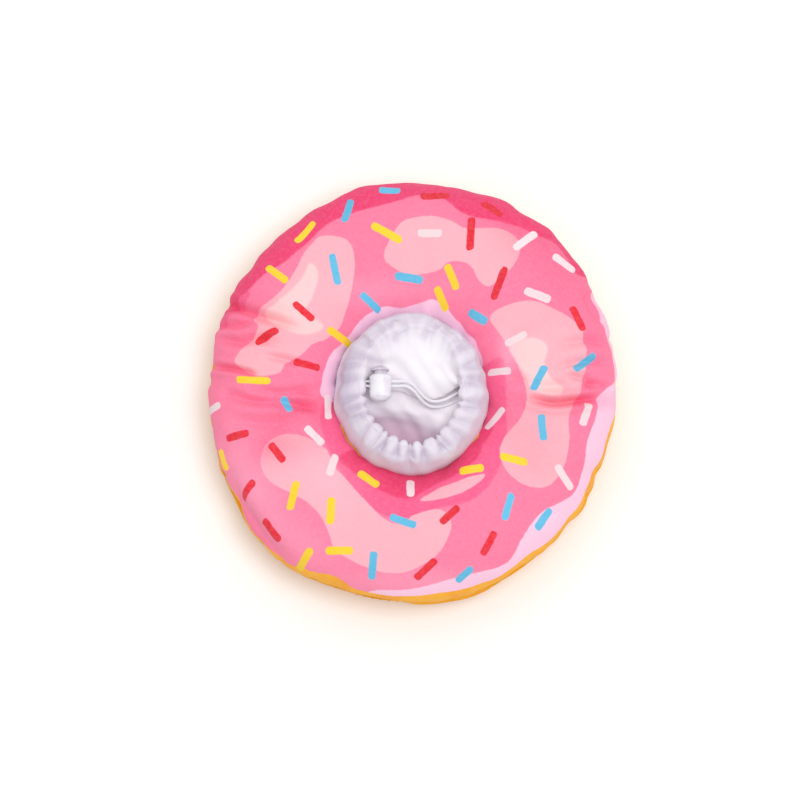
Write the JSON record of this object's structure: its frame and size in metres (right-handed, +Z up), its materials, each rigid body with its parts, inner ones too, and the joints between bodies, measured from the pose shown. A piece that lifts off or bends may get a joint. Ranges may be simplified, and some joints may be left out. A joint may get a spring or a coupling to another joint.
{
  "type": "soft recovery collar",
  "caption": "Soft stuffed ring collar for a cat or small dog, printed as an iced ring cake, with a gathered white neck sleeve closed by a draw cord and a spring cord lock",
  "frame": {"origin": "middle of the neck opening, on the ground that the back panel lies on", "axes": "+Z up through the iced front, +Y from the near edge to the far edge (the longest way across), +X to the side away from the cord lock"},
  "size_m": [0.28, 0.29, 0.0813],
  "materials": {
    "iced_print": "short soft polyester, printed as pink icing with sprinkles and an orange dough edge",
    "dough_print": "short soft polyester, printed orange as baked dough",
    "fibre": "loose white polyester fibre filling",
    "white_cloth": "thin smooth white polyester cloth with a faint lavender cast",
    "thread": "polyester sewing thread",
    "white_cord": "thin braided white polyester cord",
    "lock_plastic": "moulded white plastic, slightly glossy",
    "plunger_plastic": "moulded pale grey plastic, slightly glossy",
    "eyelet_metal": "small plain steel eyelets",
    "spring_steel": "bright spring wire"
  },
  "bodies": {
    "collar": {"front_cover": "iced_print", "back_cover": "dough_print", "fibre_filling": "fibre", "outer_seam_allowance": "dough_print", "hole_seam_allowance": "white_cloth", "closing_stitches": "thread", "neck_sleeve": "white_cloth", "sleeve_lining": "white_cloth", "cord_casing": "white_cloth", "casing_stitches": "thread", "cord_eyelets": "eyelet_metal", "draw_cord": "white_cord", "far_cord_end": "white_cord", "near_cord_end": "white_cord", "cord_knots": "white_cord"},
    "lock": {"lock_barrel": "lock_plastic", "lock_spring": "spring_steel"},
    "plunger": {"lock_plunger": "plunger_plastic"}
  },
  "joints": [
    {"name": "lock_slide", "type": "slide", "parent": "collar", "child": "lock", "axis": [1, 0, 0], "range_m": [0, 0.01]},
    {"name": "plunger_press", "type": "slide", "parent": "lock", "child": "plunger", "axis": [0, -1, 0], "range_m": [0, 0.0025], "stiffness_N_per_m": 1500, "springref_m": -0.001, "deforming": ["lock_spring"]}
  ]
}
